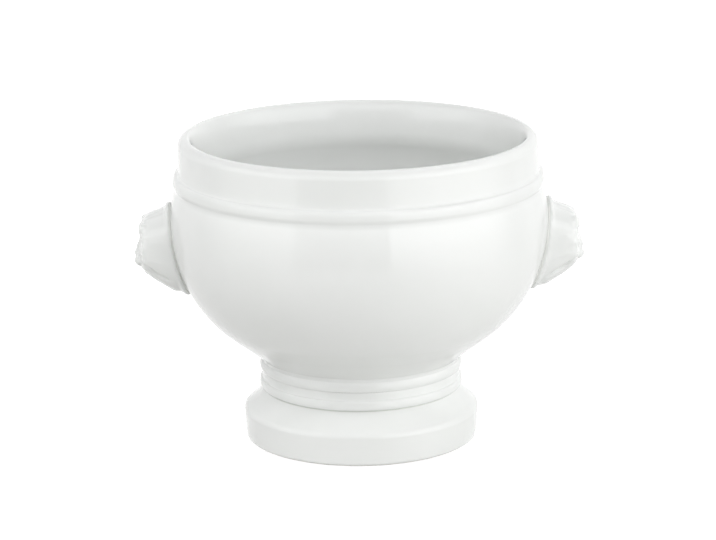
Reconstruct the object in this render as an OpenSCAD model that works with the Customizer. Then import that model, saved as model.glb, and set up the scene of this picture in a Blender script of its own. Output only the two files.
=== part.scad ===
// French onion soup crock: a footed bowl with a lion-head lug on each side.
// Millimetres. The origin is the middle of the standing ring, +Z is up, the heads lie on +X and -X.

/* [Bowl] */
// Outside diameter of the upright collar
rim_d = 120; // [108:1:140]
// How far the belly stands out past the collar, on each side
belly_swell = 3.3; // [2.6:0.1:5]
// Height from the bowl's turned base to its widest level
belly_rise = 47; // [44:0.5:60]
// Radius of the curve below the widest level
belly_arc_r = 48; // [44:0.5:52]
// Degrees of that curve, before the side runs straight to the base
belly_sweep = 51; // [40:1:58]
// Height from the widest level to the crease under the rim bead
shoulder_rise = 10.6; // [8:0.2:14]
// Radius of the curve above the widest level
shoulder_arc_r = 32; // [26:0.5:44]
// Diameter of the turned base
base_d = 66; // [58:0.5:72]
// Thickness of the wall in the belly
wall_t = 4.8; // [3.6:0.1:6]
// Thickness of the floor inside the foot
floor_t = 5; // [3.6:0.1:7]

/* [Rim] */
// Height of the upright collar with its lip
collar_h = 9.4; // [7:0.2:16]
// Radius of the lip's outer edge
lip_outer_r = 3; // [2:0.1:3.6]
// Radius of the lip's inner edge
lip_inner_r = 1.6; // [1:0.1:2.4]
// Height of the cove between collar and bead
rim_cove_h = 2.4; // [1.6:0.1:4]
// Height of the rim bead
rim_bead_h = 6.4; // [4.4:0.2:9]
// How far the rim bead stands out past the collar
rim_bead_out = 1.9; // [1.5:0.1:2.6]
// How far the rim bead's edges stand out past the collar
rim_edge_out = 0.8; // [0.4:0.1:1.2]

/* [Foot] */
// How far the plinth's upper edge stands out past the beads' edges, on each side
flare_out = 6.3; // [4:0.1:14]
// Height of the plinth
plinth_h = 10; // [7:0.2:14]
// How much the plinth narrows to the standing ring, on each side
plinth_taper = 0.6; // [0:0.1:2]
// Radius of the plinth's upper edge
plinth_edge_r = 2; // [1:0.1:3]
// Radius of the standing ring's outer edge
sole_edge_r = 0.8; // [0.4:0.1:1.4]
// Width of the flat standing ring
sole_w = 4.6; // [3.4:0.1:6]
// Height of the sloping flare above the plinth
flare_h = 7.3; // [5:0.1:10]
// How far the flare is hollowed between its ends
flare_hollow = 0.5; // [0:0.1:1]
// Height of the lower bead
lower_bead_h = 3.3; // [2.4:0.1:4.4]
// Height of the cove between the beads
waist_h = 2.8; // [1.8:0.1:4]
// Height of the upper bead
upper_bead_h = 3.7; // [2.6:0.1:4.8]
// How far the beads' edges stand out past the bowl's base, on each side
bead_step = 0.3; // [0:0.1:2]
// How far a bead stands out past its own edges
foot_bead_out = 0.5; // [0.3:0.1:1.2]
// How far the cove is hollowed between the beads
waist_hollow = 0.3; // [0.2:0.1:1]
// Thickness of the foot's wall under the bowl
foot_wall_t = 5.2; // [5:0.1:8]

/* [Lion heads] */
// Height of a head
head_h = 32.6; // [26:0.2:36]
// Width of a head
head_w = 24; // [20:0.5:30]
// Depth from the wall that the head's side and face shares are taken of
head_reach = 13.6; // [10:0.2:18]
// Height of a head's middle below the widest level
head_drop = 9; // [7:0.2:11]
// Thickness of a head at its edge
head_edge_t = 0.9; // [0.7:0.1:1.8]
// Depth of the grooves between the mane's locks
mane_groove = 0.6; // [0.2:0.1:1]
// Number of locks round the mane
mane_locks = 15; // [9:2:21]

/* [Slip joints] */
// Thickness of the slip between two pieces
slip_t = 0.6; // [0.4:0.05:0.9]
// How far the slip stays back from the edges that it joins
slip_setback = 1.1; // [0.6:0.1:1.6]
// Gap between a pad of slip and the curved wall behind it
slip_seat = 0.08; // [0.06:0.01:0.2]

/* [Hidden] */

$fn = 96;
arc_steps = 16;
head_rows = 32;
head_columns = 24;
slip_rows = 14;
slip_columns = 10;

glaze_white = [0.95, 0.95, 0.93];
slip_white = [0.86, 0.85, 0.81];

// Levels
flare_z = plinth_h + flare_h;
waist_z = flare_z + lower_bead_h;
upper_bead_z = waist_z + waist_h;
foot_top_z = upper_bead_z + upper_bead_h;
base_z = foot_top_z + slip_t;
floor_z = base_z + floor_t;
belly_z = base_z + belly_rise;
crease_z = belly_z + shoulder_rise;
rim_cove_z = crease_z + rim_bead_h;
collar_z = rim_cove_z + rim_cove_h;
rim_z = collar_z + collar_h;

// Radii
rim_r = rim_d / 2;
belly_r = rim_r + belly_swell;
base_r = base_d / 2;
belly_mid_r = belly_r - belly_arc_r;
shoulder_mid_r = belly_r - shoulder_arc_r;
rim_edge_r = rim_r + rim_edge_out;
crest_r = rim_r - lip_outer_r;
mouth_r = crest_r - lip_inner_r;
foot_bead_edge_r = base_r + bead_step;
foot_r = foot_bead_edge_r + flare_out;
sole_r = foot_r - plinth_taper;
foot_bore_r = base_r - foot_wall_t;
sole_bore_r = sole_r - sole_edge_r - sole_w;

// Lion head seen from the side, without its features: share of its height, share of its reach
head_side_shares = [[0, 0.12], [0.04, 0.46], [0.09, 0.66], [0.2, 0.71], [0.4, 0.74], [0.6, 0.75],
                    [0.7, 0.755], [0.78, 0.72], [0.84, 0.54], [0.92, 0.24], [1, 0.06]];
// Lion head seen from the front: shares of its half width left at its ends and taken off at its chin
head_end_share = 0.12;
chin_narrow_share = 0.3;
// Features of the face, the same on both sides: share of the half width and of the height
// where each lies, shares that it spans to either side, share of the reach that it rises
muzzle_shares = [0, 0.36, 0.54, 0.24, 0.22];
whisker_pad_shares = [0.22, 0.39, 0.24, 0.11, 0.09];
nose_ridge_shares = [0, 0.56, 0.2, 0.17, 0.08];
nose_tip_shares = [0, 0.46, 0.26, 0.07, 0.06];
brow_shares = [0.32, 0.75, 0.34, 0.07, 0.05];
eye_socket_shares = [0.38, 0.65, 0.28, 0.08, -0.2];
eye_shares = [0.38, 0.645, 0.16, 0.05, 0.12];
mouth_shares = [0.22, 0.28, 0.42, 0.035, -0.09];
chin_shares = [0, 0.22, 0.42, 0.09, 0.14];
cheek_shares = [0.66, 0.46, 0.24, 0.2, -0.08];
ear_shares = [0.68, 0.84, 0.26, 0.1, 0.07];
jaw_crease_shares = [0.8, 0.19, 0.45, 0.05, -0.14];
face_shares = [muzzle_shares, whisker_pad_shares, nose_ridge_shares, nose_tip_shares, brow_shares,
               eye_socket_shares, eye_shares, mouth_shares, chin_shares, cheek_shares, ear_shares,
               jaw_crease_shares];
// Bluntness of a head across its width and along its height
head_blunt = 6;
outline_blunt = 2.6;
// Middle of the mane's band and half its width, as shares of the way from face to edge
mane_band_share = 0.8;
mane_half_share = 0.32;

// Points of an arc round a middle, from one angle to another
function arc(mid, r, from, to) =
    [for (i = [0 : arc_steps]) let (a = from + (to - from) * i / arc_steps)
        mid + r * [cos(a), sin(a)]];

// Points of a bead between two levels, standing out past its edges
function bead(z_from, z_to, edge_r, out) =
    let (half = (z_to - z_from) / 2)
    let (r = (half * half + out * out) / (2 * out))
    let (a = asin(min(1, half / r)))
    arc([edge_r + out - r, z_from + half], r, -a, a);

// Points of a hollow between two points, pulled towards a third
function hollow(p, pull, q) =
    [for (i = [0 : arc_steps]) let (t = i / arc_steps)
        (1 - t) * (1 - t) * p + 2 * t * (1 - t) * pull + t * t * q];

// Radius of the bowl's outside at a level between base curve and crease
function wall_r(z) = z < belly_z
    ? belly_mid_r + sqrt(pow(belly_arc_r, 2) - pow(z - belly_z, 2))
    : shoulder_mid_r + sqrt(pow(shoulder_arc_r, 2) - pow(z - belly_z, 2));

// Distance of the bowl's outside along X, at a place beside and above the origin
function wall_x(y, z) = sqrt(pow(wall_r(z), 2) - y * y);

// A rounded rise, 1 in the middle and 0 from one span away
function rise(t) = abs(t) < 1 ? (1 + cos(180 * t)) / 2 : 0;

// Relief of the face at shares of the half width and of the height
function face(side, up) = head_reach * [for (f = face_shares)
    f[4] * rise((abs(side) - f[0]) / f[2]) * rise((up - f[1]) / f[3])] * [for (f = face_shares) 1];

// Relief of the mane's locks at the same shares
function mane(side, up) = mane_groove * cos(mane_locks * atan2(2 * up - 1, side))
    * rise((norm([side, 2 * up - 1]) - mane_band_share) / mane_half_share);

// How far a head stands off the wall at shares of the half width and of the height
function head_off(side, up) =
    let (edge = slip_t + head_edge_t)
    let (body = max(0, head_reach * lookup(up, head_side_shares) - edge))
    let (across = sqrt(max(0, 1 - pow(abs(side), head_blunt))))
    edge + across * max(0, body + face(side, up) + mane(side, up));

// Half width of a head at a share of its height
function head_half(up) =
    let (round_share = sqrt(max(0, 1 - pow(abs(2 * up - 1), outline_blunt))))
    let (chin_share = 1 - chin_narrow_share * pow(max(0, 1 - 2 * up), 2))
    head_w / 2 * (head_end_share + (1 - head_end_share) * round_share * chin_share);

// Closed skin over a front and a back grid of points with the same rows and columns
module skin(front, back) {
    rows = len(front) - 1;
    columns = len(front[0]) - 1;
    wide = columns + 1;
    under = (rows + 1) * wide;
    points = [for (grid = [front, back]) for (row = grid) for (p = row) p];
    faces = concat(
        [for (i = [0 : rows - 1]) for (j = [0 : columns - 1]) let (k = i * wide + j)
            each [[k, k + wide, k + wide + 1], [k, k + wide + 1, k + 1]]],
        [for (i = [0 : rows - 1]) for (j = [0 : columns - 1]) let (k = under + i * wide + j)
            each [[k, k + wide + 1, k + wide], [k, k + 1, k + wide + 1]]],
        [for (i = [0 : rows - 1]) for (side = [0, 1]) let (k = i * wide + side * columns)
            each side == 0
                ? [[k, under + k, under + k + wide], [k, under + k + wide, k + wide]]
                : [[k, under + k + wide, under + k], [k, k + wide, under + k + wide]]],
        [for (j = [0 : columns - 1]) for (end = [0, 1]) let (k = end * rows * wide + j)
            each end == 0
                ? [[k, under + k + 1, under + k], [k, k + 1, under + k + 1]]
                : [[k, under + k, under + k + 1], [k, under + k + 1, k + 1]]]);
    polyhedron(points, faces);
}

// Grid of points over a head's outline, standing off the wall by a set or a sculpted amount
function head_grid(rows, columns, inset, off, sculpted) =
    [for (i = [0 : rows]) let (up = (1 - cos(180 * i / rows)) / 2)
        let (z = belly_z - head_drop + (head_h - 2 * inset) * (up - 0.5))
        let (half = head_half(up) * (1 - 2 * inset / head_w))
        [for (j = [0 : columns]) let (side = -cos(180 * j / columns))
            let (y = half * side)
            [wall_x(y, z) + (sculpted ? head_off(side, up) : off), y, z]]];

// Bowl
module bowl() {
    mouth_a = acos(min(1, (mouth_r - shoulder_mid_r) / (shoulder_arc_r - wall_t)));
    floor_a = asin(min(1, (belly_z - floor_z) / (belly_arc_r - wall_t)));
    color(glaze_white)
        rotate_extrude()
            polygon(concat(
                [[0, base_z], [base_r, base_z]],
                arc([belly_mid_r, belly_z], belly_arc_r, -belly_sweep, 0),
                arc([shoulder_mid_r, belly_z], shoulder_arc_r, 0, asin(shoulder_rise / shoulder_arc_r)),
                bead(crease_z, rim_cove_z, rim_edge_r, rim_bead_out - rim_edge_out),
                hollow([rim_edge_r, rim_cove_z], [rim_r, rim_cove_z], [rim_r, collar_z]),
                arc([crest_r, rim_z - lip_outer_r], lip_outer_r, 0, 90),
                arc([crest_r, rim_z - lip_inner_r], lip_inner_r, 90, 180),
                arc([shoulder_mid_r, belly_z], shoulder_arc_r - wall_t, mouth_a, 0),
                arc([belly_mid_r, belly_z], belly_arc_r - wall_t, 0, -floor_a),
                [[0, floor_z]]));
}

// Pedestal foot, a hollow ring
module pedestal_foot() {
    edge_a = atan2(foot_r - foot_bead_edge_r, flare_h);
    edge_mid = [foot_r - plinth_edge_r, plinth_h];
    edge = arc(edge_mid, plinth_edge_r, 0, 90 - edge_a);
    flare_from = edge[arc_steps];
    flare_to = [foot_bead_edge_r, flare_z];
    color(glaze_white)
        rotate_extrude()
            polygon(concat(
                arc([sole_r - sole_edge_r, sole_edge_r], sole_edge_r, -90, 0),
                edge,
                hollow(flare_from, (flare_from + flare_to) / 2 - [flare_hollow, flare_hollow], flare_to),
                bead(flare_z, waist_z, foot_bead_edge_r, foot_bead_out),
                hollow([foot_bead_edge_r, waist_z],
                       [foot_bead_edge_r - waist_hollow, (waist_z + upper_bead_z) / 2],
                       [foot_bead_edge_r, upper_bead_z]),
                bead(upper_bead_z, foot_top_z, foot_bead_edge_r, foot_bead_out),
                [[foot_bore_r, foot_top_z]],
                hollow([foot_bore_r, upper_bead_z], [foot_bore_r, plinth_h], [sole_bore_r, 0])));
}

// Lion head on the +X side
module lion_head() {
    color(glaze_white)
        skin(head_grid(head_rows, head_columns, 0, 0, true),
             head_grid(head_rows, head_columns, 0, slip_t, false));
}

// Pad of slip behind the head on the +X side
module lion_slip() {
    color(slip_white)
        skin(head_grid(slip_rows, slip_columns, slip_setback, slip_t, false),
             head_grid(slip_rows, slip_columns, slip_setback, slip_seat, false));
}

module lion_head_right() {
    lion_head();
}

module lion_head_left() {
    mirror([1, 0, 0])
        lion_head();
}

module lion_slip_right() {
    lion_slip();
}

module lion_slip_left() {
    mirror([1, 0, 0])
        lion_slip();
}

// Ring of slip between foot and bowl
module foot_slip_joint() {
    ring_w = base_r - foot_bore_r - 2 * slip_setback;
    color(slip_white)
        rotate_extrude()
            translate([foot_bore_r + slip_setback, foot_top_z])
                square([ring_w, slip_t]);
}

bowl();
pedestal_foot();
lion_head_left();
lion_head_right();
foot_slip_joint();
lion_slip_left();
lion_slip_right();
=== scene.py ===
"""French onion soup crock: a footed bowl of white glazed porcelain with a lion-head lug on each side.

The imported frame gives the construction. This script turns the bowl and its foot, sculpts the
lion heads, glazes them, and sets a camera and soft studio light. Sizes are millimetres in the
frame's axes: +Z is up, the heads lie on +X and -X, and the camera looks along +Y.
"""

import logging
import math
from dataclasses import astuple, dataclass, field
from enum import Enum

import bpy
from bpy.types import Material, Node, NodeSocket, NodeTree, Object
from mathutils import Matrix, Vector


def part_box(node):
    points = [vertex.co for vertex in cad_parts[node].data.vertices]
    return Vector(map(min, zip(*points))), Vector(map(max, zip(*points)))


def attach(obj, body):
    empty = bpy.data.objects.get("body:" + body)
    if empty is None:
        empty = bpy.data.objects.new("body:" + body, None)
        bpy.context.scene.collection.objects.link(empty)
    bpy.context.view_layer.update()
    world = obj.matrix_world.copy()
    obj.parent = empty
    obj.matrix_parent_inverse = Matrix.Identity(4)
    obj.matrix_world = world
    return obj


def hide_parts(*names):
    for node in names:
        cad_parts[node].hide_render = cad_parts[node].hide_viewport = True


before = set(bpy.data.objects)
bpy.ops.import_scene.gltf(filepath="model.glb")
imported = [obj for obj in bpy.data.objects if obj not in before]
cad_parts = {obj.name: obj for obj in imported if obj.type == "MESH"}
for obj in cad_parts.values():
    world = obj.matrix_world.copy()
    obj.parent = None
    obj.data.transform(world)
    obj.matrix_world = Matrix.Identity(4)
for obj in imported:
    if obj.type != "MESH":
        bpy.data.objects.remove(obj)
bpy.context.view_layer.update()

LOG = logging.getLogger("crock")
MM = 0.001
BODY = "root"
TURN_STEPS = 240
CURVE_STEPS = 20
MERGE_MM = 0.002
SMOOTH_FACTOR = 0.5
GRADUAL = {"interpolation_type": "SMOOTHSTEP"}


class Slot(Enum):
    """Material slots of the record."""

    GLAZE = "glazed_porcelain"
    SLIP = "porcelain_slip"


class Side(Enum):
    """Side of the bowl that a lion head is on."""

    LEFT = "left"
    RIGHT = "right"


def linear(colour: str) -> tuple[float, float, float, float]:
    """Turns an sRGB colour into the linear one that shaders take.

    Args:
        colour: Six hex digits after a hash sign.

    Returns:
        Linear red, green, blue and an alpha of one.
    """
    shares = [int(colour[i : i + 2], 16) / 255 for i in (1, 3, 5)]
    red, green, blue = (s / 12.92 if s <= 0.04045 else ((s + 0.055) / 1.055) ** 2.4 for s in shares)
    return red, green, blue, 1.0


def per_metre(size_mm: float) -> float:
    """Scale of a pattern whose features are that many millimetres across."""
    return 1 / (size_mm * MM)


def direction(azimuth: float, elevation: float) -> Vector:
    """Direction at degrees to the right of the camera's side and degrees above the floor."""
    a, e = math.radians(azimuth), math.radians(elevation)
    return Vector((math.sin(a) * math.cos(e), -math.cos(a) * math.cos(e), math.sin(e)))


def add_node(tree: NodeTree, kind: str, inputs: dict | None = None, **settings) -> Node:
    """Adds a node with its settings, values and links.

    Args:
        tree: Tree that gets the node.
        kind: Blender's name for its kind, without ShaderNode.
        inputs: Values, or output sockets to link, by the input's name or number.
        **settings: Properties of the node.

    Returns:
        The new node.
    """
    node = tree.nodes.new(f"ShaderNode{kind}")
    for name, value in settings.items():
        setattr(node, name, value)
    for name, value in (inputs or {}).items():
        if isinstance(value, NodeSocket):
            tree.links.new(value, node.inputs[name])
        else:
            node.inputs[name].default_value = value
    return node


def new_material(name: str) -> tuple[Material, NodeTree]:
    """Makes a material with an empty node tree.

    Args:
        name: Name of the material.

    Returns:
        The material and its tree.
    """
    material = bpy.data.materials.new(name)
    material.use_nodes = True
    material.node_tree.nodes.clear()
    return material, material.node_tree


@dataclass(frozen=True)
class GlazedPorcelain:
    """Hard-paste porcelain under a clear fired glaze.

    It gives the eye a clean, neutral white with sharp soft-box reflections, a faint clouding where the body
    shows through, a trace of grey-green where the glaze has run into a corner, and a barely wavy surface.
    """

    name: str = "porcelain_clear_glazed"
    white: str = "#EAEBEA"
    clouded: str = "#E5E7E5"
    pooled: str = "#D4D8D1"
    hollow: tuple[float, float] = (0.44, 0.49)
    cloud_mm: float = 24.0
    cloud_detail: float = 3.0
    ripple_mm: float = 9.0
    ripple_detail: float = 1.0
    ripple_depth_mm: float = 0.012
    satin_mm: float = 3.0
    roughness: tuple[float, float] = (0.02, 0.05)
    ior: float = 1.5

    def colour(self, tree: NodeTree, place: NodeSocket) -> NodeSocket:
        """Adds the clouded white, tinted where the surface is hollow and the glaze has pooled.

        Args:
            tree: The material's node tree.
            place: Place on the piece.

        Returns:
            The colour.
        """
        cloud = add_node(tree, "TexNoise", {
            "Vector": place, "Scale": per_metre(self.cloud_mm), "Detail": self.cloud_detail})
        body = add_node(tree, "Mix", {
            "Factor": cloud.outputs["Fac"], "A": linear(self.white), "B": linear(self.clouded)},
            data_type="RGBA")
        bend = add_node(tree, "NewGeometry").outputs["Pointiness"]
        pool = add_node(tree, "MapRange", {
            "Value": bend, "From Min": self.hollow[1], "From Max": self.hollow[0]})
        tinted = add_node(tree, "Mix", {
            "Factor": pool.outputs["Result"], "A": body.outputs["Result"], "B": linear(self.pooled)},
            data_type="RGBA")
        return tinted.outputs["Result"]

    def material(self) -> Material:
        """Builds the material and its nodes.

        Returns:
            The material.
        """
        material, tree = new_material(self.name)
        place = add_node(tree, "TexCoord").outputs["Object"]
        satin = add_node(tree, "TexNoise", {"Vector": place, "Scale": per_metre(self.satin_mm)})
        gloss = add_node(tree, "MapRange", {
            "Value": satin.outputs["Fac"], "To Min": self.roughness[0], "To Max": self.roughness[1]})
        ripple = add_node(tree, "TexNoise", {
            "Vector": place, "Scale": per_metre(self.ripple_mm), "Detail": self.ripple_detail})
        bump = add_node(tree, "Bump", {
            "Height": ripple.outputs["Fac"], "Distance": self.ripple_depth_mm * MM})
        shader = add_node(tree, "BsdfPrincipled", {
            "Base Color": self.colour(tree, place), "Roughness": gloss.outputs["Result"], "IOR": self.ior,
            "Normal": bump.outputs["Normal"]})
        add_node(tree, "OutputMaterial", {"Surface": shader.outputs["BSDF"]})
        return material


@dataclass(frozen=True)
class BarePorcelain:
    """Porcelain without glaze, as in the joints and on the wiped standing ring.

    It gives the eye a dull, warmer white with a fine grit, darker where it has picked up dust.
    """

    name: str
    pale: str
    dusty: str
    stain_mm: float = 6.0
    stain_detail: float = 5.0
    grit_mm: float = 0.6
    grit_depth_mm: float = 0.03
    roughness: float = 0.72
    ior: float = 1.5

    def material(self) -> Material:
        """Builds the material and its nodes.

        Returns:
            The material.
        """
        material, tree = new_material(self.name)
        place = add_node(tree, "TexCoord").outputs["Object"]
        stain = add_node(tree, "TexNoise", {
            "Vector": place, "Scale": per_metre(self.stain_mm), "Detail": self.stain_detail})
        colour = add_node(tree, "Mix", {
            "Factor": stain.outputs["Fac"], "A": linear(self.pale), "B": linear(self.dusty)},
            data_type="RGBA")
        grit = add_node(tree, "TexNoise", {"Vector": place, "Scale": per_metre(self.grit_mm)})
        bump = add_node(tree, "Bump", {"Height": grit.outputs["Fac"], "Distance": self.grit_depth_mm * MM})
        shader = add_node(tree, "BsdfPrincipled", {
            "Base Color": colour.outputs["Result"], "Roughness": self.roughness, "IOR": self.ior,
            "Normal": bump.outputs["Normal"]})
        add_node(tree, "OutputMaterial", {"Surface": shader.outputs["BSDF"]})
        return material


WIPED_RING = BarePorcelain("porcelain_biscuit_wiped", "#DEDCD6", "#CFCCC4")
DRIED_SLIP = BarePorcelain("porcelain_slip_dried", "#E4E5E2", "#D8D9D6")


@dataclass
class Turned:
    """Turned piece with its half outline, in millimetres from its axis and above its standing level."""

    points: list[Vector] = field(default_factory=list)

    def add(self, curve: list[Vector], soft: float = 0.0) -> None:
        """Appends a curve to the outline.

        Args:
            curve: Points of the curve, in order.
            soft: Length over which the glaze rounds the corner before the curve.
        """
        if soft:
            corner = curve[0]
            while len(self.points) > 1 and (self.points[-1] - corner).length < soft:
                self.points.pop()
            while len(curve) > 1 and (curve[0] - corner).length < soft:
                curve = curve[1:]
            self.points += bow(self.points[-1], corner, curve[0])[1:-1]
        self.points += [p for p in curve if not self.points or (p - self.points[-1]).length > MERGE_MM]


def spot(r: float, z: float) -> Vector:
    """Point of an outline."""
    return Vector((r, 0, z))


def eased(i: int) -> float:
    """Share of the way along a curve at a step, with the steps closer at both ends."""
    return (1 - math.cos(math.pi * i / CURVE_STEPS)) / 2


def line(start: Vector, end: Vector) -> list[Vector]:
    """Points of a straight stretch."""
    return [start.lerp(end, eased(i)) for i in range(CURVE_STEPS + 1)]


def arc(mid: Vector, r: float, start: float, end: float) -> list[Vector]:
    """Points of an arc from one angle to another, in degrees above the outward direction."""
    turns = [math.radians(start + (end - start) * eased(i)) for i in range(CURVE_STEPS + 1)]
    return [mid + r * spot(math.cos(a), math.sin(a)) for a in turns]


def bead(low: Vector, high: Vector, out: float) -> list[Vector]:
    """Points of a bead that stands out past its upright edge.

    Args:
        low: Lower end of the edge.
        high: Upper end of the edge.
        out: How far the bead stands out.

    Returns:
        The points, from the lower end up.
    """
    half = (high.z - low.z) / 2
    r = (half * half + out * out) / (2 * out)
    sweep = math.degrees(math.asin(half / r))
    return arc(spot(low.x + out - r, low.z + half), r, -sweep, sweep)


def bow(start: Vector, pull: Vector, end: Vector) -> list[Vector]:
    """Points of a curve between two points, drawn towards a third."""
    steps = [i / CURVE_STEPS for i in range(CURVE_STEPS + 1)]
    return [(1 - t) ** 2 * start + 2 * t * (1 - t) * pull + t**2 * end for t in steps]


def ess(start: Vector, end: Vector, low_share: float, high_share: float) -> list[Vector]:
    """Points of a curve that swings over between two upright ends.

    Args:
        start: Lower end.
        end: Upper end.
        low_share: Share of the rise that the lower end stays upright for.
        high_share: Share of the rise that the upper end stays upright for.

    Returns:
        The points, from the lower end up.
    """
    rise = end.z - start.z
    low, high = spot(start.x, start.z + rise * low_share), spot(end.x, end.z - rise * high_share)
    middle = (low + high) / 2
    return bow(start, low, middle) + bow(middle, high, end)[1:]


def deselect() -> None:
    """Leaves edit mode and deselects every object."""
    if bpy.context.mode != "OBJECT":
        bpy.ops.object.mode_set(mode="OBJECT")
    bpy.ops.object.select_all(action="DESELECT")


def take_up(piece: Object) -> None:
    """Makes a piece the only selected and the active one.

    Args:
        piece: The piece.
    """
    deselect()
    piece.select_set(True)
    bpy.context.view_layer.objects.active = piece


def wire(name: str, points: list[Vector]) -> Object:
    """Draws a chain of edges through points and stays in edit mode with all of it selected.

    Args:
        name: Name of the new object.
        points: Places in metres, in order.

    Returns:
        The object.
    """
    deselect()
    bpy.ops.mesh.primitive_plane_add(size=MM)
    piece = bpy.context.object
    piece.name = piece.data.name = name
    bpy.ops.object.mode_set(mode="EDIT")
    bpy.ops.mesh.merge(type="CENTER")
    bpy.ops.transform.translate(value=points[0])
    for start, end in zip(points, points[1:]):
        bpy.ops.mesh.extrude_region_move(TRANSFORM_OT_translate={"value": end - start})
    bpy.ops.mesh.select_all(action="SELECT")
    return piece


def turn(name: str, outline: list[Vector]) -> Object:
    """Turns a half outline round the upright axis.

    Args:
        name: Name of the new piece.
        outline: Points in millimetres that start and end on the axis, or come back to the start.

    Returns:
        The closed piece.
    """
    piece = wire(name, [point * MM for point in outline])
    bpy.ops.mesh.spin(steps=TURN_STEPS, angle=math.tau, center=(0, 0, 0), axis=(0, 0, 1))
    bpy.ops.mesh.select_all(action="SELECT")
    bpy.ops.mesh.remove_doubles(threshold=MERGE_MM * MM)
    bpy.ops.mesh.normals_make_consistent(inside=False)
    bpy.ops.object.mode_set(mode="OBJECT")
    bpy.ops.object.shade_smooth()
    return piece


def apply(piece: Object, kind: str, **settings) -> None:
    """Adds a modifier to a piece and applies it.

    Args:
        piece: The piece.
        kind: Blender's name for the kind of modifier.
        **settings: Properties of the modifier.
    """
    take_up(piece)
    bpy.ops.object.modifier_add(type=kind)
    modifier = piece.modifiers[-1]
    for name, value in settings.items():
        setattr(modifier, name, value)
    bpy.ops.object.modifier_apply(modifier=modifier.name)


def cut(piece: Object, other: Object, operation: str) -> None:
    """Applies a boolean with another solid, and deletes that solid."""
    apply(piece, "BOOLEAN", operation=operation, object=other, solver="EXACT")
    bpy.data.objects.remove(other)


def remesh(piece: Object, voxel: float) -> None:
    """Fuses a piece's shells into one even skin with faces of about the given millimetres."""
    apply(piece, "REMESH", mode="VOXEL", voxel_size=voxel * MM)


def soften(piece: Object, passes: int, group: str = "") -> None:
    """Smooths a piece, or only a vertex group of it, a number of times."""
    apply(piece, "SMOOTH", factor=SMOOTH_FACTOR, iterations=passes, vertex_group=group)


def join(pieces: list[Object]) -> Object:
    """Joins objects into the first of them.

    Args:
        pieces: The objects.

    Returns:
        The first, which now holds them all.
    """
    take_up(pieces[0])
    for piece in pieces:
        piece.select_set(True)
    bpy.ops.object.join()
    return bpy.context.object


def mirrored(piece: Object) -> Object:
    """Copies a piece to the other side of the bowl, with a mesh of its own.

    Args:
        piece: The piece on +X.

    Returns:
        The copy on -X.
    """
    twin = piece.copy()
    twin.data = piece.data.copy()
    bpy.context.collection.objects.link(twin)
    take_up(twin)
    bpy.ops.object.mode_set(mode="EDIT")
    bpy.ops.mesh.select_all(action="SELECT")
    bpy.ops.transform.resize(value=(-1, 1, 1), center_override=(0, 0, 0))
    bpy.ops.mesh.normals_make_consistent(inside=False)
    bpy.ops.object.mode_set(mode="OBJECT")
    return twin


def hand_over(piece: Object, node: str) -> None:
    """Puts a finished piece in its CAD node's place.

    Args:
        piece: The finished piece.
        node: CAD node that it stands for.
    """
    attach(piece, BODY)
    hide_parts(node)
    LOG.info("%s stands for %s with %d faces", piece.name, node, len(piece.data.polygons))


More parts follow.
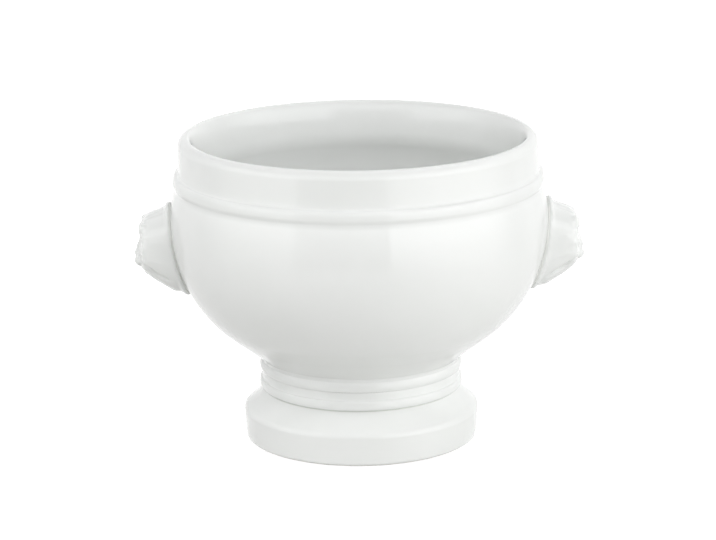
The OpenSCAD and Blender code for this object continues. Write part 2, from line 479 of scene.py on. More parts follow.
@dataclass
class Bowl(Turned):
    """Turned bowl with its rim bead, upright collar and rounded lip."""

    belly_swell: float = 3.3
    belly_arc_r: float = 48.0
    belly_sweep: float = 51.0
    shoulder_rise: float = 11.3
    shoulder_arc_r: float = 32.0
    lower_hollow: float = 0.2
    bead_fall: float = 2.4
    bead_rise: float = 2.9
    bead_out: float = 1.9
    bead_low_share: float = 0.25
    bead_high_share: float = 0.2
    cove_h: float = 2.8
    cove_out: float = 0.4
    collar_h: float = 9.4
    lip_outer_r: float = 3.0
    lip_inner_w: float = 3.0
    lip_inner_h: float = 10.0
    wall_t: float = 4.8
    floor_t: float = 5.0
    slip_setback: float = 1.1
    base_lap: float = 0.5
    base_fillet_share: float = 0.07
    wall_soft: float = 4.0
    crease_soft: float = 0.9
    quirk_soft: float = 0.5
    floor_soft: float = 16.0
    mouth_soft: float = 3.0

    def __post_init__(self) -> None:
        """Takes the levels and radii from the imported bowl."""
        low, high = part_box("bowl")
        self.base_z = low.z / MM
        self.rim_z = high.z / MM
        self.belly_r = min(high.x, high.y) / MM
        self.rim_r = self.belly_r - self.belly_swell
        self.joint_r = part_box("foot_slip_joint")[1].x / MM
        self.base_r = self.joint_r + self.slip_setback
        self.seat_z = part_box("pedestal_foot")[1].z / MM
        self.lip_r = self.rim_r - self.lip_outer_r
        self.collar_z = self.rim_z - self.collar_h
        self.cove_z = self.collar_z - self.cove_h
        self.crest_z = self.cove_z - self.bead_rise
        self.belly_z = self.crest_z - self.bead_fall - self.shoulder_rise
        self.belly_mid = spot(self.belly_r - self.belly_arc_r, self.belly_z)
        self.shoulder_mid = spot(self.belly_r - self.shoulder_arc_r, self.belly_z)

    def wall(self, out: float) -> list[Vector]:
        """Points of the wall from the lower belly up to the crease, moved out by some millimetres."""
        top = math.degrees(math.asin(self.shoulder_rise / self.shoulder_arc_r))
        return (arc(self.belly_mid, self.belly_arc_r + out, -self.belly_sweep, 0)
                + arc(self.shoulder_mid, self.shoulder_arc_r + out, 0, top)[1:])

    def outside(self, point: Vector) -> float:
        """Measures how far a point lies outside the wall.

        Args:
            point: The point, in millimetres in the frame.

        Returns:
            The distance, below zero inside the wall.
        """
        mid, r = self.belly_mid, self.belly_arc_r
        if point.z > self.belly_z:
            mid, r = self.shoulder_mid, self.shoulder_arc_r
        return math.hypot(point.xy.length - mid.x, point.z - mid.z) - r

    def add_base(self) -> None:
        """Adds the underside, the lap over the slip joint and the slight hollow up to the belly."""
        belly = self.wall(0)[0]
        base, lap = spot(self.base_r, self.base_z), spot(self.base_r + self.base_lap, self.seat_z)
        joint, seat = spot(self.joint_r, self.base_z), spot(self.joint_r, self.seat_z)
        lap_share = self.base_lap / (belly.x - base.x)
        fillet = base.lerp(belly, self.base_fillet_share)
        hollow = (base + belly) / 2 + spot(-self.lower_hollow, self.lower_hollow)
        self.add(line(spot(0, self.base_z), joint))
        self.add(line(joint, seat))
        self.add(line(seat, lap))
        self.add(bow(lap, base.lerp(belly, lap_share), fillet))
        self.add(bow(fillet, hollow, belly))

    def add_side(self) -> None:
        """Adds the wall, the rim bead with its cove, the collar and the lip's outer half."""
        wall = self.wall(0)
        crest = spot(self.rim_r + self.bead_out, self.crest_z)
        quirk = spot(self.rim_r + self.cove_out, self.cove_z)
        collar = spot(self.rim_r, self.collar_z)
        lip = arc(spot(self.lip_r, self.rim_z - self.lip_outer_r), self.lip_outer_r, 0, 90)
        self.add(wall, self.wall_soft)
        self.add(ess(wall[-1], crest, self.bead_low_share, self.bead_high_share), self.crease_soft)
        self.add(bow(crest, spot(crest.x, self.cove_z), quirk))
        self.add(bow(quirk, spot(self.rim_r, self.cove_z), collar), self.quirk_soft)
        self.add(line(collar, lip[0]))
        self.add(lip)

    def add_inside(self) -> None:
        """Adds the lip's inner half, the inside of the wall and the floor."""
        mouth_r = self.lip_r - self.lip_inner_w
        floor_z = self.base_z + self.floor_t
        shoulder_r, belly_r = self.shoulder_arc_r - self.wall_t, self.belly_arc_r - self.wall_t
        mouth_a = math.degrees(math.acos((mouth_r - self.shoulder_mid.x) / shoulder_r))
        floor_a = math.degrees(math.asin((self.belly_z - floor_z) / belly_r))
        lip_mid = spot(self.lip_r, self.rim_z - self.lip_inner_h)
        stretch = Vector((self.lip_inner_w, 0, self.lip_inner_h))
        lip = [lip_mid + p * stretch for p in arc(Vector(), 1, 90, 180)]
        shoulder = arc(self.shoulder_mid, shoulder_r, mouth_a, 0)
        belly = arc(self.belly_mid, belly_r, 0, -floor_a)
        self.add(lip)
        self.add(line(lip[-1], shoulder[0]))
        self.add(shoulder, self.mouth_soft)
        self.add(belly)
        self.add(line(belly[-1], spot(0, floor_z)), self.floor_soft)

    def build(self, glaze: Material) -> None:
        """Turns and glazes the bowl.

        Args:
            glaze: Material of the whole bowl.
        """
        self.add_base()
        self.add_side()
        self.add_inside()
        piece = turn("glazed_bowl", self.points)
        piece.data.materials.append(glaze)
        hand_over(piece, "bowl")


@dataclass
class PedestalFoot(Turned):
    """Turned foot: a plinth on a bare standing ring, a flare and two beads under the bowl."""

    plinth_h: float = 10.0
    plinth_taper: float = 0.6
    plinth_edge_r: float = 2.4
    plinth_edge_drop: float = 0.5
    sole_edge_r: float = 1.3
    sole_w: float = 4.1
    flare_h: float = 7.3
    flare_out: float = 6.0
    flare_hollow: float = 0.5
    crease_in: float = 0.85
    lower_bead_h: float = 3.5
    lower_bead_out: float = 0.62
    lower_crest_h: float = 1.8
    waist_h: float = 2.7
    waist_in: float = 0.2
    groove_in: float = 0.55
    upper_bead_in: float = 0.1
    upper_bead_out: float = 0.45
    upper_bead_gap: float = 0.25
    wall_t: float = 5.8
    corner_soft: float = 0.3
    bore_soft: float = 1.2
    # Height of the wiped standing ring, left bare; set tall enough that its darker biscuit also paints the
    # contact shadow along the foot's bottom edge.
    bare_ring_and_contact_shade_h: float = 0.35

    def __post_init__(self) -> None:
        """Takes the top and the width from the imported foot, and works out what lies between."""
        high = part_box("pedestal_foot")[1]
        self.top_z = high.z / MM
        self.foot_r = high.x / MM
        self.sole_r = self.foot_r - self.plinth_taper - self.sole_edge_r
        self.edge_r = self.foot_r - self.flare_out
        self.bore_r = self.edge_r - self.wall_t
        self.flare_z = self.plinth_h + self.flare_h
        self.waist_z = self.flare_z + self.lower_bead_h
        self.upper_z = self.waist_z + self.waist_h
        self.crease = spot(self.edge_r - self.crease_in, self.flare_z)

    def add_plinth(self) -> None:
        """Adds the plinth from the standing ring up, and the flare above it."""
        slope = math.degrees(math.atan2(self.flare_out, self.flare_h))
        sole = arc(spot(self.sole_r, self.sole_edge_r), self.sole_edge_r, -90, 0)
        edge_mid = spot(self.foot_r - self.plinth_edge_r, self.plinth_h - self.plinth_edge_drop)
        edge = arc(edge_mid, self.plinth_edge_r, 0, 90 - slope)
        pull = (edge[-1] + self.crease) / 2 - spot(self.flare_hollow, self.flare_hollow)
        self.add(sole)
        self.add(line(sole[-1], edge[0]))
        self.add(edge)
        self.add(bow(edge[-1], pull, self.crease))

    def add_beads(self) -> None:
        """Adds the lower bead, the waist and the upper bead."""
        crest = spot(self.edge_r + self.lower_bead_out, self.flare_z + self.lower_crest_h)
        waist = spot(self.edge_r - self.waist_in, self.waist_z)
        groove = spot(self.edge_r - self.groove_in, self.upper_z)
        band_r = self.edge_r + self.upper_bead_in
        band = bead(spot(band_r, self.upper_z + self.upper_bead_gap),
                    spot(band_r, self.top_z - self.upper_bead_gap), self.upper_bead_out)
        self.add(bow(self.crease, spot(crest.x, self.crease.z), crest))
        self.add(bow(crest, spot(crest.x, waist.z), waist))
        self.add(line(waist, groove), self.corner_soft)
        self.add(line(groove, band[0]))
        self.add(band)
        self.add(line(band[-1], spot(self.edge_r, self.top_z)))

    def add_hollow(self) -> None:
        """Adds the top and the hollow under it, back to the start of the outline."""
        top, bore = spot(self.edge_r, self.top_z), spot(self.bore_r, self.top_z)
        hollow = bow(spot(self.bore_r, self.upper_z), spot(self.bore_r, self.plinth_h),
                     spot(self.sole_r - self.sole_w, 0))
        self.add(line(top, bore))
        self.add(line(bore, hollow[0]), self.bore_soft)
        self.add(hollow)
        self.add(line(hollow[-1], self.points[0]), self.corner_soft)

    def build(self, glaze: Material, biscuit: Material) -> None:
        """Turns the foot, glazes it and leaves its standing ring bare, in a band tall enough to stand for a
        painted contact shadow too.

        Args:
            glaze: Material of the foot.
            biscuit: Material of the standing ring, whose darker band also paints the contact shadow.
        """
        self.add_plinth()
        self.add_beads()
        self.add_hollow()
        piece = turn("glazed_foot", self.points)
        piece.data.materials.append(glaze)
        piece.data.materials.append(biscuit)
        # Faces under this height get bare biscuit: the real standing ring, which also stands for a painted
        # contact shadow at the foot's bottom edge.
        for face in piece.data.polygons:
            face.material_index = int(face.center.z < self.bare_ring_and_contact_shade_h * MM)
        hand_over(piece, "pedestal_foot")


@dataclass(frozen=True)
class Form:
    """Rounded form of the lion's face, as half sizes round a place.

    The place is across from the middle, up from the middle and out from the plane of the cheeks.
    A turn is in degrees, with the outer end going up.
    """

    across: float
    up: float
    out: float
    wide: float
    high: float
    deep: float
    turn: float = 0.0


@dataclass(frozen=True)
class Loop:
    """Loop of the head's mass: how far out it lies, and its reach up, down and to each side."""

    out: float
    top: float
    bottom: float
    half: float

    def towards(self, other: "Loop", share: float) -> "Loop":
        """Loop that lies a share of the way to another one."""
        return Loop(*(a + (b - a) * share for a, b in zip(astuple(self), astuple(other))))


FACE_FORMS = {
    "face": Form(0.0, -0.6, -3.5, 7.2, 9.0, 3.4),
    "forehead": Form(0.0, 6.5, -3.0, 4.8, 3.9, 4.35),
    "brow": Form(3.3, 5.95, -0.5, 2.9, 1.2, 1.75, 15.0),
    "nose bridge": Form(0.0, 3.2, -0.8, 1.6, 3.9, 1.95),
    "nose": Form(0.0, 0.2, -0.3, 2.0, 2.8, 2.5),
    "nose pad": Form(0.0, -1.5, 1.2, 2.5, 1.15, 1.75),
    "whisker pad": Form(2.1, -3.7, -0.3, 2.7, 2.3, 3.15),
    "upper muzzle": Form(2.7, -1.3, -1.2, 2.3, 2.4, 2.6),
    "lower lip": Form(0.0, -6.4, -1.6, 2.6, 1.15, 2.5),
    "chin": Form(0.0, -7.8, -2.7, 2.8, 1.7, 2.4),
    "cheek": Form(5.8, 0.4, -2.1, 2.4, 3.8, 2.85),
    "jaw": Form(5.3, -4.4, -2.4, 2.5, 2.7, 2.7),
    "ear": Form(6.9, 7.9, -1.0, 1.7, 2.2, 1.9, -34.0),
}
FACE_HOLLOWS = {
    "eye socket": Form(3.4, 3.8, 1.5, 2.3, 1.5, 2.1),
    "ear hollow": Form(6.7, 7.7, 1.3, 0.9, 1.4, 0.9, -34.0),
    "mouth": Form(2.5, -6.0, 1.9, 3.2, 0.42, 2.5, -12.0),
    "nostril": Form(1.2, -1.8, 3.0, 0.5, 0.36, 0.7),
}
EYES = {"eyeball": Form(3.4, 3.75, -0.5, 1.5, 1.05, 1.2)}


@dataclass(frozen=True)
class Strand:
    """Row of locks in the mane, or the crease under a cheek, which has the shape of a lock cut away.

    The start and end count 0 at the face, 1 at the edge of the head's front and 2 at the bowl's wall.
    Thick is a lock's greatest radius, and relief is how far it stands out there.
    The offset is the share of a lock by which the row is turned.
    """

    start: float
    end: float
    thick: float
    relief: float
    offset: float


@dataclass
class LionHead:
    """Sculpted lion head that is luted to the bowl's wall."""

    bowl: Bowl
    muzzle_out: float = 2.9
    blunt: float = 2.6
    chin_narrow: float = 0.12
    loop_step: int = 5
    loops: tuple[Loop, ...] = (
        Loop(-18.0, 15.6, -15.6, 11.75),
        Loop(-10.4, 15.6, -14.6, 11.75),
        Loop(-7.6, 13.7, -12.7, 11.7),
        Loop(-5.0, 12.6, -10.7, 11.6),
        Loop(-1.8, 11.3, -8.2, 11.3),
        Loop(-0.3, 9.9, -6.9, 10.5),
    )
    plate: Loop = Loop(0.0, 15.2, -16.1, 11.8)
    plate_reach: tuple[float, float] = (-20.0, -4.0)
    plate_t: float = 1.1
    slip_t: float = 0.6
    slip_setback: float = 0.25
    slip_gap: float = 0.03
    slip_corner: float = 40.0
    bedded: float = 0.42
    locks: int = 16
    lock_steps: int = 7
    lock_order: int = 4
    lock_rounding: int = 4
    lock_tip_share: float = 0.25
    lock_lean: float = 0.7
    lock_sweep: float = 17.0
    lock_wave: float = 5.0
    lock_level: float = 1.5
    face_share: float = 0.58
    strands: tuple[Strand, ...] = (
        Strand(0.0, 0.85, 1.4, 0.8, 0.0),
        Strand(0.35, 1.3, 1.6, 0.3, 0.5),
        Strand(0.85, 2.0, 2.0, 0.3, 0.0),
    )
    crease: Strand = Strand(1.15, 2.0, 1.1, 1.1, 0.0)
    crease_clocks: tuple[float, float] = (119.0, -119.0)
    form_segments: int = 32
    form_rings: int = 20
    voxel: float = 0.26
    softening: int = 30
    seam_w: float = 0.9
    seam_softening: int = 6

    def __post_init__(self) -> None:
        """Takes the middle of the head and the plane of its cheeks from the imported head."""
        low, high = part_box("lion_head_right")
        self.mid_z = (low.z + high.z) / 2 / MM
        self.cheek_x = high.x / MM - self.muzzle_out

    def place(self, across: float, up: float, out: float) -> Vector:
        """Place on the head on +X, in metres in the frame."""
        return Vector((self.cheek_x + out, across, self.mid_z + up)) * MM

    def ring(self, clock: float, loop: Loop, share: float = 1.0) -> tuple[float, float]:
        """Place on a loop.

        Args:
            clock: Degrees round from the top of the head.
            loop: The loop.
            share: Share of the way to it from its middle.

        Returns:
            Millimetres across and up.
        """
        a = math.radians(clock)
        across, up = (math.copysign(abs(s) ** (2 / self.blunt), s) for s in (math.sin(a), math.cos(a)))
        narrow = 1 - self.chin_narrow * max(0.0, -up) ** 2
        middle, half = (loop.top + loop.bottom) / 2, (loop.top - loop.bottom) / 2
        return share * loop.half * across * narrow, middle + share * half * up

    def prism(self, loops: tuple[Loop, ...]) -> Object:
        """Extrudes an oval outwards through loops.

        Args:
            loops: Loops from the innermost out.

        Returns:
            The closed solid.
        """
        first = loops[0]
        clocks = range(0, 360, self.loop_step)
        piece = wire("head_mass", [self.place(*self.ring(clock, first), first.out) for clock in clocks])
        bpy.ops.mesh.edge_face_add()
        for was, loop in zip(loops, loops[1:]):
            mid = self.place(0, (was.top + was.bottom) / 2, was.out)
            step = self.place(0, (loop.top + loop.bottom) / 2, loop.out) - mid
            high = (loop.top - loop.bottom) / (was.top - was.bottom)
            bpy.ops.mesh.extrude_region_move(TRANSFORM_OT_translate={"value": step})
            bpy.ops.transform.resize(value=(1, loop.half / was.half, high), center_override=mid + step)
        bpy.ops.mesh.select_all(action="SELECT")
        bpy.ops.mesh.normals_make_consistent(inside=False)
        bpy.ops.object.mode_set(mode="OBJECT")
        return piece

    def wall_solid(self, out: float) -> Object:
        """Turns a solid whose side lies a set way outside the bowl's wall."""
        side = self.bowl.wall(out)
        return turn("wall_cutter", [spot(0, side[0].z), *side, spot(0, side[-1].z)])

    def wall_plate(self, thick: float, setback: float) -> Object:
        """Cuts an oval plate that lies against the wall.

        Args:
            thick: How far its face lies outside the bowl's wall.
            setback: How far its edge lies inside the head's outline.

        Returns:
            The plate, which still runs on into the bowl.
        """
        edge = (self.plate.top - setback, self.plate.bottom + setback, self.plate.half - setback)
        plate = self.prism(tuple(Loop(out, *edge) for out in self.plate_reach))
        cut(plate, self.wall_solid(thick), "INTERSECT")
        return plate

    def mounds(self, forms: dict[str, Form]) -> list[Object]:
        """Adds forms, each with its twin on the other side of the nose where it lies off the middle.

        Args:
            forms: The forms by name.

        Returns:
            The new objects.
        """
        made = []
        for form in forms.values():
            for sign in (1, -1) if form.across else (1,):
                bpy.ops.mesh.primitive_uv_sphere_add(
                    segments=self.form_segments, ring_count=self.form_rings, radius=MM,
                    location=self.place(sign * form.across, form.up, form.out),
                    rotation=(sign * math.radians(form.turn), 0, 0),
                    scale=(form.deep, form.wide, form.high))
                made.append(bpy.context.object)
        return made

    def on_mane(self, clock: float, along: float, sunk: float) -> Vector:
        """Place in the mane.

        Args:
            clock: Degrees round from the top of the head.
            along: 0 at the face, 1 at the edge of the front, 2 at the bowl's wall.
            sunk: How far it lies under the surface.

        Returns:
            The place in metres.
        """
        front = self.loops[-1]
        if along <= 1:
            share = self.face_share + (1 - self.face_share) * along
            return self.place(*self.ring(clock, front, share), front.out - sunk)
        out = front.out + (self.loops[1].out - front.out) * (along - 1)
        pairs = zip(self.loops[1:], self.loops[2:])
        inner, outer = next(pair for pair in pairs if pair[0].out <= out <= pair[1].out)
        loop = inner.towards(outer, (out - inner.out) / (outer.out - inner.out))
        back = sunk * max(0.0, self.lock_level - along)
        return self.place(*self.ring(clock, loop, 1 - sunk / loop.half), out - back)

    def lock(self, clock: float, strand: Strand) -> Object:
        """Adds a lock of the mane as a strand that tapers to both ends and sweeps downwards.

        Args:
            clock: Degrees round from the top of the head that it starts at.
            strand: Row that it belongs to.

        Returns:
            The lock as a mesh.
        """
        deselect()
        bpy.ops.curve.primitive_nurbs_path_add()
        curve = bpy.context.object.data
        curve.bevel_depth = MM
        curve.bevel_resolution = self.lock_rounding
        curve.use_fill_caps = True
        spline = curve.splines[0]
        spline.points.add(self.lock_steps - len(spline.points))
        spline.order_u = self.lock_order
        for i, point in enumerate(spline.points):
            share = i / (self.lock_steps - 1)
            bulge = math.sin(math.pi * share**self.lock_lean)
            swell = self.lock_tip_share + (1 - self.lock_tip_share) * bulge
            along = strand.start + (strand.end - strand.start) * share
            sweep = self.lock_sweep * math.sin(math.pi / 2 * share)
            wave = self.lock_wave * math.sin(math.tau * share)
            turned = clock + (sweep + wave) * math.sin(math.radians(clock))
            where = self.on_mane(turned, along, (strand.thick - strand.relief) * swell)
            point.co = (*where, 1.0)
            point.radius = strand.thick * swell
        bpy.ops.object.convert(target="MESH")
        return bpy.context.object

    def mane(self) -> list[Object]:
        """Adds the rows of locks round the face."""
        step, rank = 360 / self.locks, range(self.locks)
        return [self.lock(step * (i + strand.offset), strand) for strand in self.strands for i in rank]

    def carve(self, head: Object) -> None:
        """Cuts the hollows of the face and the creases under the cheeks, and sets the eyes in.

        Args:
            head: The head's mass.
        """
        creases = [self.lock(clock, self.crease) for clock in self.crease_clocks]
        hollows = join([*self.mounds(FACE_HOLLOWS), *creases])
        remesh(hollows, self.voxel)
        cut(head, hollows, "DIFFERENCE")
        join([head, *self.mounds(EYES)])
        remesh(head, self.voxel)

    def bed(self, head: Object) -> None:
        """Cuts the back of the head to the wall and softens it, once more along the seam.

        Args:
            head: The carved head.
        """
        cut(head, self.wall_solid(self.bedded), "DIFFERENCE")
        remesh(head, self.voxel)
        soften(head, self.softening)
        seam = head.vertex_groups.new(name="seam")
        near = [v.index for v in head.data.vertices if self.bowl.outside(v.co / MM) < self.seam_w]
        seam.add(near, 1.0, "REPLACE")
        soften(head, self.seam_softening, seam.name)

    def sculpt(self) -> Object:
        """Models the head on +X.

        Returns:
            The finished head.
        """
        mass = [self.prism(self.loops), self.wall_plate(self.slip_t + self.plate_t, 0.0), *self.mane()]
        head = join([*mass, *self.mounds(FACE_FORMS)])
        remesh(head, self.voxel)
        self.carve(head)
        self.bed(head)
        bpy.ops.object.transform_apply()
        bpy.ops.object.shade_smooth()
        return head

    def slip_pad(self) -> Object:
        """Models the slip between the head on +X and the wall.

        Returns:
            The pad.
        """
        pad = self.wall_plate(self.slip_t, self.slip_setback)
        cut(pad, self.wall_solid(self.slip_gap), "DIFFERENCE")
        take_up(pad)
        bpy.ops.object.shade_smooth_by_angle(angle=math.radians(self.slip_corner))
        return pad

    def build(self, glaze: Material, slip: Material) -> None:
        """Sculpts the right head with its slip, mirrors both for the left, and gives them their finish.

        Args:
            glaze: Material of the heads.
            slip: Material of the slip.
        """
        for kind, made, finish, slot in (("lion_head", self.sculpt(), glaze, Slot.GLAZE),
                                         ("lion_slip", self.slip_pad(), slip, Slot.SLIP)):
            made.data.materials.clear()
            made.data.materials.append(finish)
            for side, piece in ((Side.LEFT, mirrored(made)), (Side.RIGHT, made)):
                node = f"{kind}_{side.value}"
                piece.name = piece.data.name = f"{node}_piece"
                hand_over(piece, node)


@dataclass
class FootJoint:
    """Ring of dried slip between foot and bowl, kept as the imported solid."""

    node: str = "foot_slip_joint"

    def dress(self, slip: Material) -> None:
        """Gives the ring the bare material.

        Args:
            slip: Material of the slip.
        """
        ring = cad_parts[self.node]
        ring.data.materials.clear()
        ring.data.materials.append(slip)
        LOG.info("%s keeps its packed solid", self.node)


@dataclass(frozen=True)
class SoftBox:
    """Bright panel of the tent: azimuths of its sharp inner and faded outer edge, and how bright it is."""

    inner: float
    outer: float
    light: float


@dataclass(frozen=True)
class Lamp:
    """Soft lamp: degrees to the right of the camera's side, degrees above the floor, and watts."""

    name: str
    azimuth: float
    elevation: float
    power: float


@dataclass
class Studio:
    """Camera at the photo's angle, a pale floor, and the soft boxes of a light tent.

    The tent's levels are what the glaze mirrors. Where one starts and is full is given in degrees for the
    sweep behind the crock, and for the others as the height of the direction, 1 straight up.
    """

    photo_w_px: float = 716.0
    focal_px: float = 3007.0
    sensor: float = 36.0
    azimuth: float = -1.1
    elevation: float = 14.48
    distance: float = 1009.0
    aim: Vector = field(default_factory=lambda: Vector((-0.6, 0.0, 56.64)))
    roll: float = -0.75
    floor_size: float = 6000.0
    floor_drop: float = 0.05
    floor_white: str = "#D8D8D6"
    floor_glow: float = 1.35
    shadow_share: float = 0.65
    shadow_reach: tuple[float, float] = (40.0, 50.0)
    tent_white: str = "#FFFFFF"
    fill: float = 0.005
    dim: float = 0.3
    boxes: tuple[SoftBox, ...] = (
        SoftBox(17.0, 100.0, 1.4),
        SoftBox(-40.0, -105.0, 1.0),
    )
    box_blur: float = 2.0
    box_fade: float = 24.0
    bridge: float = 1.1
    bridge_from: tuple[float, float] = (0.26, 0.42)
    lift: float = 1.35
    lift_from: tuple[float, float] = (-0.02, 0.08)
    roof: float = 0.15
    roof_from: tuple[float, float] = (0.5, 0.72)
    sweep: float = 1.2
    sweep_from: tuple[float, float] = (95.0, 125.0)
    table: float = 1.1
    table_from: tuple[float, float] = (-0.28, -0.4)
    lamp_size: float = 700.0
    lamp_distance: float = 1100.0
    lamps: tuple[Lamp, ...] = (
        Lamp("key_box", 60.0, 30.0, 1.8),
        Lamp("front_box", 0.0, 45.0, 2.4),
        Lamp("low_box", 19.0, 15.0, 5.2),
        Lamp("right_box", 90.0, 18.0, 4.0),
        Lamp("left_box", -90.0, 15.0, 4.3),
        Lamp("top_box", -60.0, 52.0, 4.0),
        Lamp("back_box", 150.0, 40.0, 4.0),
    )

    def camera(self) -> None:
        """Adds the camera and makes it the scene's."""
        back = direction(self.azimuth, self.elevation)
        data = bpy.data.cameras.new("camera")
        data.sensor_width = self.sensor
        data.lens = self.sensor * self.focal_px / self.photo_w_px
        camera = bpy.data.objects.new("camera", data)
        camera.rotation_mode = "QUATERNION"
        camera.location = (self.aim + back * self.distance) * MM
        spin = Matrix.Rotation(math.radians(self.roll), 3, "Z").to_quaternion()
        camera.rotation_quaternion = (-back).to_track_quat("-Z", "Y") @ spin
        bpy.context.collection.objects.link(camera)
        bpy.context.scene.camera = camera

    def table_top(self) -> Material:
        """Builds the floor's material: white to the camera, with the crock's shadow close to it.

        Returns:
            The material.
        """
        material, tree = new_material("white_table")
        seen = add_node(tree, "LightPath").outputs["Is Camera Ray"]
        place = add_node(tree, "TexCoord").outputs["Object"]
        away = add_node(tree, "VectorMath", {0: place}, operation="LENGTH")
        white = add_node(tree, "MapRange", {
            "Value": away.outputs["Value"], "From Min": self.shadow_reach[0] * MM,
            "From Max": self.shadow_reach[1] * MM, "To Min": self.shadow_share, "To Max": 1.0})
        share = add_node(tree, "Math", {0: seen, 1: white.outputs[0]}, operation="MULTIPLY")
        paint = add_node(tree, "BsdfDiffuse", {"Color": linear(self.floor_white)})
        glow = add_node(tree, "Emission", {"Color": linear(self.tent_white), "Strength": self.floor_glow})
        mix = add_node(tree, "MixShader", {
            0: share.outputs[0], 1: paint.outputs["BSDF"], 2: glow.outputs["Emission"]})
        add_node(tree, "OutputMaterial", {"Surface": mix.outputs["Shader"]})
        return material

    def floor(self) -> None:
        """Adds the floor, which the glaze mirrors as the tent's table instead."""
        deselect()
        bpy.ops.mesh.primitive_plane_add(size=self.floor_size * MM, location=(0, 0, -self.floor_drop * MM))
        floor = bpy.context.object
        floor.name = "floor"
        floor.visible_glossy = False
        floor.data.materials.append(self.table_top())

    def panel(self, tree: NodeTree, clock: NodeSocket, box: SoftBox) -> NodeSocket:
        """Adds a soft box to the tent.

        Args:
            tree: The world's node tree.
            clock: Azimuth of a direction, in radians.
            box: The soft box.

        Returns:
            Its brightness in that direction.
        """
        side = math.copysign(1.0, box.inner)
        inner, outer = side * box.inner, side * box.outer
        aside = add_node(tree, "Math", {0: clock, 1: side}, operation="MULTIPLY").outputs[0]
        near = add_node(tree, "MapRange", {
            "Value": aside, "From Min": math.radians(inner - self.box_blur),
            "From Max": math.radians(inner + self.box_blur), "To Max": box.light}, **GRADUAL)
        far = add_node(tree, "MapRange", {
            "Value": aside, "From Min": math.radians(outer + self.box_fade),
            "From Max": math.radians(outer - self.box_fade)}, **GRADUAL)
        lit = add_node(tree, "Math", {0: near.outputs[0], 1: far.outputs[0]}, operation="MULTIPLY")
        return lit.outputs[0]

    def sides(self, tree: NodeTree, clock: NodeSocket, height: NodeSocket) -> NodeSocket:
        """Adds the tent's sides: soft boxes with a dim gap, bridged above it, and a dark roof.

        Args:
            tree: The world's node tree.
            clock: Azimuth of a direction, in radians.
            height: Height of a direction, 1 straight up.

        Returns:
            Their brightness in that direction.
        """
        level = self.dim
        for box in self.boxes:
            lit = self.panel(tree, clock, box)
            level = add_node(tree, "Math", {0: lit, 1: level}, operation="ADD").outputs[0]
        over = add_node(tree, "MapRange", {
            "Value": height, "From Min": self.bridge_from[0], "From Max": self.bridge_from[1],
            "To Max": self.bridge}, **GRADUAL)
        lift = add_node(tree, "MapRange", {
            "Value": height, "From Min": self.lift_from[0], "From Max": self.lift_from[1], "To Min": 1.0,
            "To Max": self.lift}, **GRADUAL)
        roof = add_node(tree, "MapRange", {
            "Value": height, "From Min": self.roof_from[0], "From Max": self.roof_from[1], "To Min": 1.0,
            "To Max": self.roof}, **GRADUAL)
        bridged = add_node(tree, "Math", {0: level, 1: over.outputs[0]}, operation="MAXIMUM")
        shade = add_node(tree, "Math", {0: lift.outputs[0], 1: roof.outputs[0]}, operation="MULTIPLY")
        lit = add_node(tree, "Math", {0: bridged.outputs[0], 1: shade.outputs[0]}, operation="MULTIPLY")
        return lit.outputs[0]

    def mirrored_light(self, tree: NodeTree) -> NodeSocket:
        """Adds all that the glaze mirrors: the tent's sides, the sweep behind and the table below.

        Args:
            tree: The world's node tree.

        Returns:
            The brightness in each direction.
        """
        ways = add_node(tree, "TexCoord").outputs["Generated"]
        way = add_node(tree, "SeparateXYZ", {0: ways}).outputs
        front = add_node(tree, "Math", {0: way["Y"], 1: -1.0}, operation="MULTIPLY")
        clock = add_node(tree, "Math", {0: way["X"], 1: front.outputs[0]}, operation="ARCTAN2")
        aside = add_node(tree, "Math", {0: clock.outputs[0]}, operation="ABSOLUTE")
        behind = add_node(tree, "MapRange", {
            "Value": aside.outputs[0], "From Min": math.radians(self.sweep_from[0]),
            "From Max": math.radians(self.sweep_from[1])}, **GRADUAL)
        down = add_node(tree, "MapRange", {
            "Value": way["Z"], "From Min": self.table_from[0], "From Max": self.table_from[1]}, **GRADUAL)
        sides = self.sides(tree, clock.outputs[0], way["Z"])
        around = add_node(tree, "Mix", {"Factor": behind.outputs[0], "A": sides, "B": self.sweep})
        level = add_node(tree, "Mix", {"Factor": down.outputs[0], "A": around.outputs[0], "B": self.table})
        return level.outputs[0]

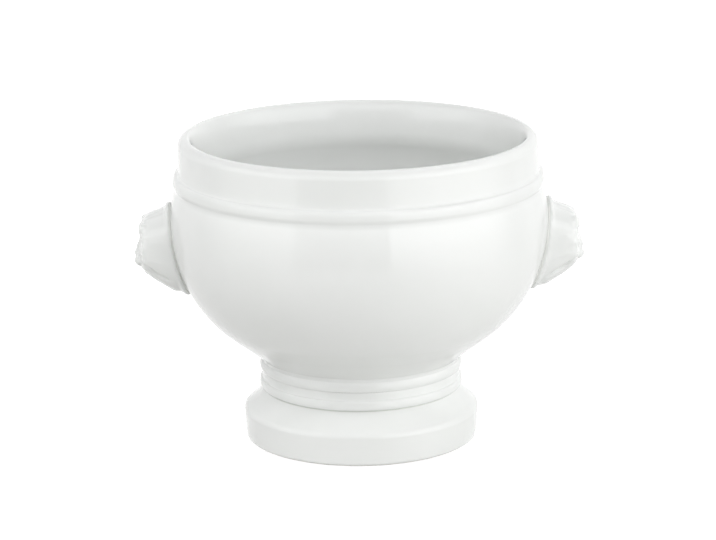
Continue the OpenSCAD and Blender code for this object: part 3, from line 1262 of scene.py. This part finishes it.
    def tent(self) -> None:
        """Sets the world: white to the camera, the tent to the glaze, and an even fill to the rest."""
        world = bpy.data.worlds.new("light_tent")
        bpy.context.scene.world = world
        world.use_nodes = True
        tree = world.node_tree
        tree.nodes.clear()
        cloth = linear(self.tent_white)
        ray = add_node(tree, "LightPath").outputs
        tent = add_node(tree, "Background", {"Color": cloth, "Strength": self.mirrored_light(tree)})
        fill = add_node(tree, "Background", {"Color": cloth, "Strength": self.fill})
        white = add_node(tree, "Background", {"Color": cloth, "Strength": 1.0})
        lit = add_node(tree, "MixShader", {
            0: ray["Is Glossy Ray"], 1: fill.outputs[0], 2: tent.outputs[0]})
        seen = add_node(tree, "Math", {
            0: ray["Is Camera Ray"], 1: ray["Is Transmission Ray"]}, operation="MAXIMUM")
        mix = add_node(tree, "MixShader", {0: seen.outputs[0], 1: lit.outputs[0], 2: white.outputs[0]})
        add_node(tree, "OutputWorld", {"Surface": mix.outputs[0]})

    def hang(self, lamp: Lamp) -> None:
        """Adds a lamp that lights the crock and isn't seen in its glaze.

        Args:
            lamp: The lamp.
        """
        data = bpy.data.lights.new(lamp.name, "AREA")
        data.size = self.lamp_size * MM
        data.energy = lamp.power
        box = bpy.data.objects.new(lamp.name, data)
        way = direction(lamp.azimuth, lamp.elevation)
        box.location = (self.aim + way * self.lamp_distance) * MM
        box.rotation_mode = "QUATERNION"
        box.rotation_quaternion = way.to_track_quat("Z", "Y")
        box.visible_camera = box.visible_glossy = False
        bpy.context.collection.objects.link(box)

    def build(self) -> None:
        """Sets up the camera, floor and light."""
        bpy.context.scene.view_settings.view_transform = "Standard"
        self.camera()
        self.floor()
        self.tent()
        for lamp in self.lamps:
            self.hang(lamp)


def main() -> None:
    """Builds and dresses the crock, then sets the studio."""
    logging.basicConfig(level=logging.INFO, format="%(name)s: %(message)s")
    glaze = GlazedPorcelain().material()
    biscuit = WIPED_RING.material()
    slip = DRIED_SLIP.material()
    bowl = Bowl()
    bowl.build(glaze)
    PedestalFoot().build(glaze, biscuit)
    LionHead(bowl).build(glaze, slip)
    FootJoint().dress(slip)
    Studio().build()


if __name__ == "__main__":
    main()
